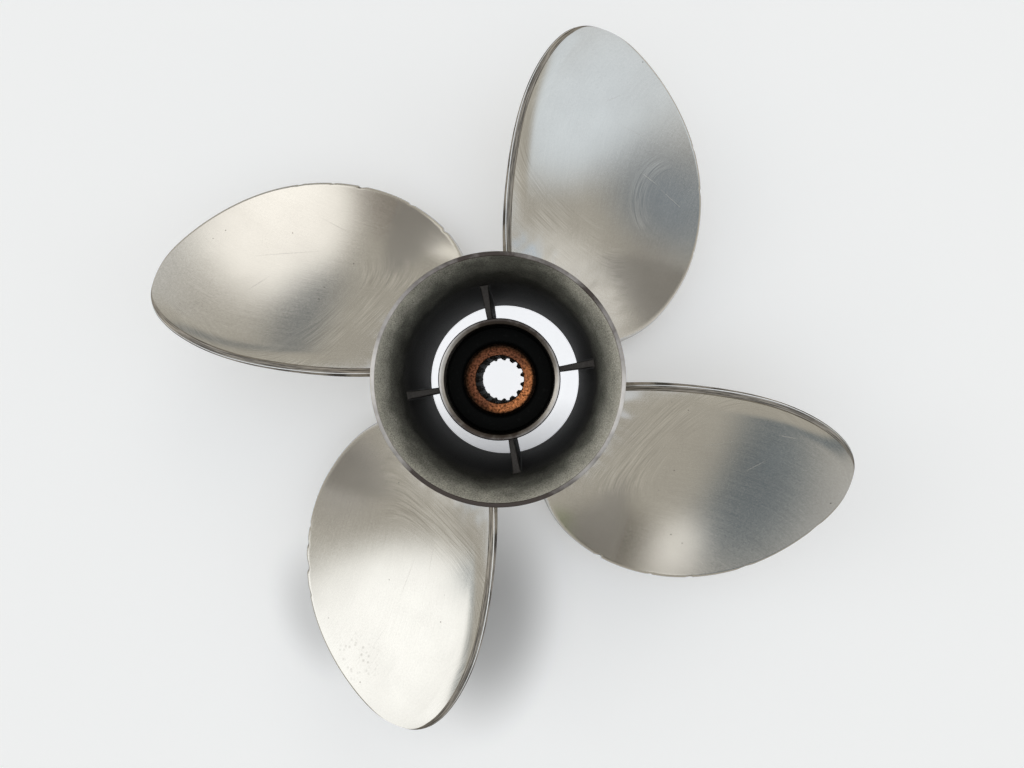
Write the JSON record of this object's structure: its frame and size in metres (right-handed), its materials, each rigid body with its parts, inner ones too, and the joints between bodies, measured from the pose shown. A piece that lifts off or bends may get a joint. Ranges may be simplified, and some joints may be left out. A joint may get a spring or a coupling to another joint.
{
  "type": "outboard motor propeller",
  "caption": "Four-blade right-hand stainless boat propeller with exhaust through a flared hub and a rubber-bushed splined bore.",
  "frame": {"origin": "on the shaft axis, in the plane of the hub's flat forward face, on which the propeller stands", "axes": "+Z along the shaft axis, aft towards the diffuser rim; one blade trails along +X"},
  "size_m": [0.3664, 0.3664, 0.13],
  "materials": {
    "polished_stainless": "polished",
    "cast_stainless": "matte",
    "turned_stainless": "satin",
    "black_rubber": "matte",
    "tarnished_bronze": "satin"
  },
  "bodies": {
    "root": {"hub_barrel": "cast_stainless", "inner_tube": "turned_stainless", "exhaust_rib_1": "cast_stainless", "exhaust_rib_2": "cast_stainless", "exhaust_rib_3": "cast_stainless", "exhaust_rib_4": "cast_stainless", "blade_1": "polished_stainless", "blade_2": "polished_stainless", "blade_3": "polished_stainless", "blade_4": "polished_stainless", "rubber_bushing": "black_rubber", "splined_sleeve": "tarnished_bronze"}
  },
  "joints": []
}
